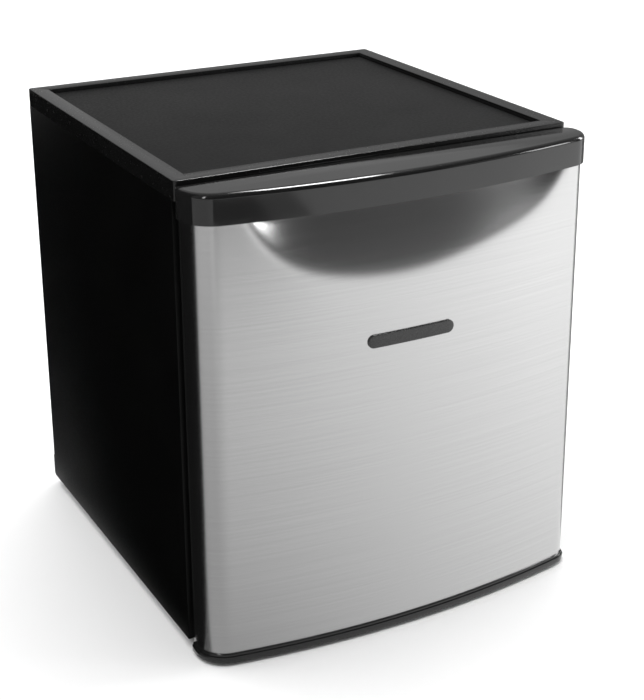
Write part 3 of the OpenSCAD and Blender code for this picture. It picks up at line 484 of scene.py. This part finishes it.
def door_plan(inset, back_inset=0.0):
    """Points round the door, drawn in by inset, from its left back corner round to its right one."""
    rear = DOOR_BACK_Y - back_inset
    bow_start = math.atan2(FREE_CORNER_Y - BOW_Y, FREE_X)
    bow_end = math.atan2(HINGE_CORNER_Y - BOW_Y, HINGE_X)
    steps = round((bow_end - bow_start) * BOW_R / BOW_STEP)
    free_r = max(FREE_REAR_R - inset, LEAST_R)
    hinge_r = max(HINGE_REAR_R - inset, LEAST_R)
    return ([(-LINER_X, rear)]
            + arc(DOOR_LEFT + inset + free_r, rear - free_r, free_r, QUARTER, 2 * QUARTER, 4)
            + arc(FREE_X, FREE_CORNER_Y, FREE_CORNER_R - inset, -2 * QUARTER, bow_start, 18)
            + arc(0, BOW_Y, BOW_R - inset, bow_start, bow_end, steps)[1:-1]
            + arc(HINGE_X, HINGE_CORNER_Y, HINGE_CORNER_R - inset, bow_end, 0, 18)
            + arc(DOOR_RIGHT - inset - hinge_r, rear - hinge_r, hinge_r, 0, QUARTER, 8)
            + [(LINER_X, rear)])


# Lower edge of the scoop, as pairs of x and z.
SCOOP_EDGE = [(-0.170, 0.4765), (-0.162, 0.468), (-0.138, 0.435), (-0.090, 0.413), (-0.047, 0.406),
              (-0.007, 0.403), (0.051, 0.409), (0.110, 0.424), (0.153, 0.440), (0.180, 0.458),
              (0.194, 0.4765)]


def smooth_curve(table):
    """A polynomial through a table of (x, z), fitted by least squares."""
    xs, zs = zip(*table)
    fitted = np.polynomial.Polynomial.fit(xs, zs, 6)
    return lambda x: float(fitted(x))


scoop_edge = smooth_curve(SCOOP_EDGE)
SCOOP_LEFT, SCOOP_RIGHT = -0.19, 0.2
SCOOP_SLOPE = 0.35
SCOOP_SOFT = 0.006
SCOOP_START = 0.0006
SCOOP_RISE = 0.018
COVE_SHARE = 0.1


def scoop_depth(x, z):
    """Depth of the press: a soft lower edge, then an even slope with a slight cove in it."""
    if not SCOOP_LEFT < x < SCOOP_RIGHT:
        return 0.0
    edge = scoop_edge(x)
    rise = z - edge
    soft = 0.5 * (rise + math.sqrt(rise * rise + (2 * SCOOP_SOFT) ** 2)) - SCOOP_START
    height = max(CAP_Z0 + SCOOP_RISE - edge, 0.001)
    u = min(max(soft / height, 0.0), 1.0)
    cove = height * u * u * (3 - 2 * u)
    return max(SCOOP_SLOPE * ((1 - COVE_SHARE) * soft + COVE_SHARE * cove), 0.0)


def thick_sheet(bm, outer, inner):
    """A closed sheet between two grids of points."""
    sides = [[[bm.verts.new(p) for p in row] for row in rows] for rows in (outer, inner)]
    last_row, last = len(outer) - 1, len(outer[0]) - 1
    for side in sides:
        for i in range(last_row):
            for j in range(last):
                bm.faces.new((side[i][j], side[i][j + 1], side[i + 1][j + 1], side[i + 1][j]))
    rim = ([(0, j) for j in range(last)] + [(i, last) for i in range(last_row)]
           + [(last_row, j) for j in range(last, 0, -1)] + [(i, 0) for i in range(last_row, 0, -1)])
    for (i, j), (k, m) in zip(rim, rim[1:] + rim[:1]):
        bm.faces.new((sides[0][i][j], sides[0][k][m], sides[1][k][m], sides[1][i][j]))


def pressed(plan, z):
    """The plan at a height, with the scoop pressed into it."""
    return [(x, y + scoop_depth(x, z), z) for x, y in plan]


def heights(low, high, step):
    count = max(1, round((high - low) / step))
    return [low + (high - low) * i / count for i in range(count + 1)]


def skin_rows(low, high):
    return heights(low, high, 0.0018)


PLAIN_TOP = 0.395
PLAIN_ROW = 0.016
TUCK = 0.004
POCKET_H = 0.0178
TONGUE_X = 0.195
BUSH_TOP = 0.025
FILLING_GAP = 0.0001
SKIN_Z = heights(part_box("door_panel")[0].z, PLAIN_TOP, PLAIN_ROW)[:-1] + skin_rows(PLAIN_TOP, CAP_Z0)


def make_door_skin():
    """Brushed wrap with the pressed scoop. Its tongue goes up inside the cap, all round for TUCK and
    then only where the finger pocket is."""
    outer, inner = door_plan(STEEL_INSET), door_plan(STEEL_INSET + STEEL_T, STEEL_T)
    front = [i for i, (x, y) in enumerate(outer) if y < HINGE_Y - 0.001]
    pocket = [i for i in front if abs(outer[i][0]) < TONGUE_X]
    parts = [(range(len(outer)), SKIN_Z),
             (front, skin_rows(CAP_Z0, CAP_Z0 + TUCK)),
             (pocket, skin_rows(CAP_Z0 + TUCK, CAP_Z0 + POCKET_H))]
    bm = bmesh.new()
    for points, rows in parts:
        span = slice(points[0], points[-1] + 1)
        thick_sheet(bm, *([pressed(plan[span], z) for z in rows] for plan in (outer, inner)))
    add_object("door_skin", outward(bm, "door_skin"), "brushed_steel", "door", "door_panel", sharp=50)


def make_door_filling():
    """Foam behind the skin, above the lower hinge bush."""
    plan = door_plan(STEEL_INSET + STEEL_T + FILLING_GAP, 0.003)
    bm = bmesh.new()
    rings = [[bm.verts.new(p) for p in pressed(plan, z)] for z in SKIN_Z if z > BUSH_TOP]
    bridge(bm, rings)
    cap_ends(bm, rings)
    add_object("door_filling", outward(bm, "door_filling"), "foam", "door", "door_foam", sharp=50)


make_door_filling()
make_door_skin()
CAP_FILLET = 0.0052
FILLET_STEPS = 8
WALL_SLACK = 0.0003
# How much of the fillet's width is taken off the back edge, which stays nearly square.
BACK_SHARE = 0.2


def cap_normal(x, y):
    """Outward direction at a point of the cap's outer wall, or None away from that wall."""
    rear_x, rear_y = DOOR_RIGHT - HINGE_REAR_R, DOOR_BACK_Y - HINGE_REAR_R
    arcs = [(FREE_X, FREE_CORNER_Y, FREE_CORNER_R, x < FREE_X and y < FREE_CORNER_Y),
            (HINGE_X, HINGE_CORNER_Y, HINGE_CORNER_R, x > HINGE_X and y < HINGE_CORNER_Y),
            (rear_x, rear_y, HINGE_REAR_R, x > rear_x and y > rear_y),
            (0, BOW_Y, BOW_R, y < HINGE_CORNER_Y)]
    for cx, cy, r, inside in arcs:
        away = math.hypot(x - cx, y - cy)
        if inside and near(away, r, WALL_SLACK):
            return (x - cx) / away, (y - cy) / away
    if near(x, DOOR_LEFT, WALL_SLACK):
        return -1, 0
    if near(x, DOOR_RIGHT, WALL_SLACK):
        return 1, 0
    if near(y, DOOR_BACK_Y, WALL_SLACK):
        return 0, 1
    return None


def make_cap():
    """The moulded cap with a full round along its top edge."""
    bm = cad_copy("door_top_cap")
    for k in range(FILLET_STEPS):
        z = CAP_Z1 - CAP_FILLET * (1 - math.sin(QUARTER * k / FILLET_STEPS))
        bmesh.ops.bisect_plane(bm, geom=bm.verts[:] + bm.edges[:] + bm.faces[:], dist=0.000001,
                               plane_co=(0, 0, z), plane_no=(0, 0, 1))
    for v in bm.verts:
        up = v.co.z - (CAP_Z1 - CAP_FILLET)
        normal = cap_normal(v.co.x, v.co.y)
        if up <= 0 or not normal:
            continue
        inset = CAP_FILLET - math.sqrt(max(CAP_FILLET ** 2 - min(up, CAP_FILLET) ** 2, 0))
        share = BACK_SHARE if normal[1] > 0 else 1
        v.co.x = min(max(v.co.x - normal[0] * inset, DOOR_LEFT + inset), DOOR_RIGHT - inset)
        v.co.y -= normal[1] * inset * share
    bmesh.ops.remove_doubles(bm, verts=bm.verts, dist=MERGE)
    add_object("top_cap", mesh_from(bm, "top_cap"), "cap_plastic", "door", "door_top_cap", sharp=32)


make_cap()


# ---------------------------------------------------------------- worktop

TOP_LOW, TOP_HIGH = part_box("worktop_frame")
PANEL_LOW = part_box("worktop_panel")[0]
PANEL_GAP = 0.0002
RIM_W = PANEL_LOW.x - TOP_LOW.x - PANEL_GAP
RIM_CORNER_R = 0.004
RIM_ROUND = 0.0012
RIM_LIP = 0.0006
SKIRT_T = 0.0025
PLATE_T = 0.002


def rim_outline(inset):
    """A rectangle with round corners, drawn in by inset."""
    r = max(RIM_CORNER_R - inset, 0.0004)
    x0, x1 = TOP_LOW.x + inset + r, TOP_HIGH.x - inset - r
    y0, y1 = TOP_LOW.y + inset + r, TOP_HIGH.y - inset - r
    corners = [(x1, y1), (x0, y1), (x0, y0), (x1, y0)]
    return [p for i, (x, y) in enumerate(corners) for p in arc(x, y, r, i * QUARTER, (i + 1) * QUARTER, 6)]


def make_worktop_rim():
    """Frame with a soft outer edge, its skirt, and the plate that carries the panel."""
    top, floor = TOP_HIGH.z, PANEL_LOW.z
    edge, lip = RIM_ROUND, RIM_LIP
    profile = [(0, TOP_LOW.z), (0, top - edge)]
    profile += [(edge * (1 - math.cos(a)), top - edge * (1 - math.sin(a)))
                for a in (math.radians(15 * i) for i in range(1, 7))]
    profile += [(RIM_W - lip, top), (RIM_W - lip / 3, top - lip / 3), (RIM_W, top - lip), (RIM_W, floor),
                (RIM_W, floor - PLATE_T), (SKIRT_T, floor - PLATE_T), (SKIRT_T, TOP_LOW.z)]
    bm = bmesh.new()
    rings = [[bm.verts.new((x, y, z)) for x, y in rim_outline(inset)] for inset, z in profile]
    bridge(bm, rings + rings[:1])
    plate = [[bm.verts.new((x, y, z)) for x, y in rim_outline(RIM_W)] for z in (floor - PLATE_T, floor)]
    bridge(bm, plate)
    cap_ends(bm, plate)
    add_object("worktop_rim", outward(bm, "worktop_rim"), SLOT_OF["worktop_frame"], "cabinet",
               "worktop_frame")


make_worktop_rim()


# ---------------------------------------------------------------- round edges on the plain nodes

EDGE_WIDTHS = {
    "worktop_panel": 0.0003, "side_panel_left": 0.0005, "side_panel_right": 0.0005,
    "bottom_front_rail": 0.0004, "back_panel": 0.0003, "compressor_base": 0.0004,
    "door_bottom_trim": 0.0006, "door_badge": 0.0005, "inner_liner": 0.0010, "door_liner": 0.0008,
    "door_bin_sides": 0.0006,
    "bin_rail_upper": 0.0008, "bin_rail_middle": 0.0008, "bottle_rail": 0.0008,
    "drip_trough": 0.0005, "evaporation_tray": 0.0005, "thermostat_housing": 0.0007,
    "evaporator_plate": 0.0004, "relay_cover": 0.0010, "compressor": 0.0010,
    "top_hinge_bracket": 0.0004, "bottom_hinge_bracket": 0.0004, "cord_gland": 0.0006,
    "rear_feet": 0.0008,
}
for node, width in EDGE_WIDTHS.items():
    softened(node, width)


# ---------------------------------------------------------------- lathed pieces

RIPPLE_FROM = 0.6


def lathe(bm, centre, axis, profile, steps, ripple):
    """Turns (radius, height) pairs round an upright or a front-to-back axis. The ripple works on the
    part of the profile beyond RIPPLE_FROM of its largest radius."""
    rippled = RIPPLE_FROM * max(p[0] for p in profile)
    rings = []
    for r, h in profile:
        ring = []
        for k in range(steps):
            a = 2 * math.pi * k / steps
            radius = r * (1 + ripple(a)) if r > rippled else r
            u, v = radius * math.cos(a), radius * math.sin(a)
            offset = (u, v, h) if axis == "Z" else (u, h, v)
            ring.append(bm.verts.new(Vector(centre) + Vector(offset)))
        rings.append(ring)
    bridge(bm, rings)
    cap_ends(bm, rings)


def make_front_foot(side):
    """Levelling foot: a knurled disc on a threaded stud."""
    node, name = "front_foot_" + side, "levelling_foot_" + side
    low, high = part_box(node)
    centre = ((low.x + high.x) / 2, (low.y + high.y) / 2, 0)
    disc_r = (high.x - low.x) / 2
    disc_h, stud_r, pitch, depth = 0.007, 0.004, 0.00125, 0.0005
    profile = [(disc_r - 0.0025, 0), (disc_r - 0.0006, 0.0006), (disc_r, 0.0016), (disc_r, disc_h - 0.0010),
               (disc_r - 0.0010, disc_h), (stud_r + 0.001, disc_h), (stud_r - depth, disc_h + 0.0006)]
    z = disc_h + 0.001
    while z < high.z - pitch:
        profile += [(stud_r, z + pitch / 2), (stud_r - depth, z + pitch)]
        z += pitch
    profile += [(stud_r - 2 * depth, high.z)]
    bm = bmesh.new()
    lathe(bm, centre, "Z", profile, 96, lambda a: -0.012 * (1 + math.cos(24 * a)))
    add_object(name, outward(bm, name), SLOT_OF[node], "foot_" + side, node)


for side in ("left", "right"):
    make_front_foot(side)


# Grip across the dial: depth in front of its face, half its width, and half its length.
GRIP = [(0, 0.0035, 0.0148), (0.004, 0.0031, 0.0142), (0.0075, 0.0026, 0.0134), (0.0088, 0.0020, 0.0126),
        (0.0094, 0.0008, 0.0114)]
GRIP_H = 0.0055


def make_knob():
    """Ribbed dial with a tapered grip across it."""
    low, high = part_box("thermostat_knob")
    centre = Vector(((low.x + high.x) / 2, 0, (low.z + high.z) / 2))
    radius = (high.x - low.x) / 2
    face = high.y - GRIP_H
    bm = bmesh.new()
    profile = [(radius - 0.0006, high.y), (radius, high.y - 0.0008), (radius, face + 0.0012),
               (radius - 0.0012, face), (radius * 0.82, face - 0.0004), (0.0005, face - 0.0004)]
    lathe(bm, centre, "Y", profile, 120, lambda a: -0.010 * (1 + math.cos(30 * a)))
    rings = []
    for depth, half, reach in GRIP:
        outline = arc(0, reach - half, half, 0, math.pi, 10) + arc(0, -reach + half, half, -math.pi, 0, 10)
        y = face - 0.0002 - depth
        rings.append([bm.verts.new((centre.x + x, y, centre.z + z)) for x, z in outline])
    bridge(bm, rings)
    cap_ends(bm, rings)
    add_object("dial", outward(bm, "dial"), SLOT_OF["thermostat_knob"], "thermostat_dial",
               "thermostat_knob")


make_knob()


MARK_COUNT = 8
MARK_FROM, MARK_SWEEP = -240, 300
MARK_LIFT, MARK_T = 0.00008, 0.0001
HOUSING_EDGE = 0.001


def make_dial_marks():
    """Printed ticks round the dial, longer and thicker towards cold, where the housing has room."""
    low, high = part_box("thermostat_knob")
    wall_low, wall_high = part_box("thermostat_housing")
    centre = Vector(((low.x + high.x) / 2, wall_low.y - MARK_LIFT, (low.z + high.z) / 2))
    bm = bmesh.new()
    for i in range(MARK_COUNT):
        a = math.radians(MARK_FROM + MARK_SWEEP * i / (MARK_COUNT - 1))
        half, start, end = 0.0003 + 0.00005 * i, 0.0182, 0.0192 + 0.00012 * i
        along, across = Vector((math.cos(a), 0, math.sin(a))), Vector((-math.sin(a), 0, math.cos(a)))
        corners = [centre + along * r + across * w for r, w in
                   ((start, -half), (end, -half), (end, half), (start, half))]
        if all(wall_low.x + HOUSING_EDGE < c.x < wall_high.x - HOUSING_EDGE
               and wall_low.z + HOUSING_EDGE < c.z < wall_high.z - HOUSING_EDGE for c in corners):
            rings = [[bm.verts.new(c + Vector((0, back, 0))) for c in corners] for back in (0, MARK_T)]
            bridge(bm, rings)
            cap_ends(bm, rings)
    add_object("dial_marks", outward(bm, "dial_marks"), "cable", "cabinet")


make_dial_marks()


# ---------------------------------------------------------------- door seal

# The seal's section as shares of its width and depth.
SEAL_SECTION = [(0.0, 0.0), (0.0, 0.16), (0.10, 0.24), (0.20, 0.34), (0.08, 0.44), (0.0, 0.56), (0.0, 0.90),
                (0.06, 0.98), (0.14, 1.0), (0.86, 1.0), (0.94, 0.98), (1.0, 0.90), (1.0, 0.56),
                (0.92, 0.44), (0.80, 0.34), (0.90, 0.24), (1.0, 0.16), (1.0, 0.0)]
SEAL_W = 0.011
SEAL_CORNER_R = 0.012


def make_seal():
    """Seal swept round the door: a foot, a folded neck and a bulb that holds the magnet."""
    low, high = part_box("door_gasket")
    depth = high.y - low.y
    x0, x1 = low.x + SEAL_CORNER_R, high.x - SEAL_CORNER_R
    z0, z1 = low.z + SEAL_CORNER_R, high.z - SEAL_CORNER_R
    bm = bmesh.new()
    rings = []
    for cx, cz, start in ((x1, z0, -90), (x1, z1, 0), (x0, z1, 90), (x0, z0, 180)):
        for i in range(11):
            a = math.radians(start + 9 * i)
            rings.append([bm.verts.new((cx + (SEAL_CORNER_R - SEAL_W * u) * math.cos(a), low.y + depth * v,
                                        cz + (SEAL_CORNER_R - SEAL_W * u) * math.sin(a)))
                          for u, v in SEAL_SECTION])
    bridge(bm, rings + rings[:1])
    add_object("seal", outward(bm, "seal"), "gasket", "door", "door_gasket", sharp=60)


make_seal()


# ---------------------------------------------------------------- stage and end

FLOOR_REACH, FLOOR_CELLS = 10.0, 10


def make_floor():
    """A plain pale floor."""
    bm = bmesh.new()
    bmesh.ops.create_grid(bm, x_segments=FLOOR_CELLS, y_segments=FLOOR_CELLS, size=FLOOR_REACH)
    mesh = mesh_from(bm, "floor")
    obj = bpy.data.objects.new("floor", mesh)
    s = Shader("floor", specular=0.3)
    s.colour(s.noise(3), grey(0.86), grey(0.88))
    s.rough(s.noise(40), 0.6, 0.7)
    mesh.materials.append(s.material)
    scene.collection.objects.link(obj)


make_floor()
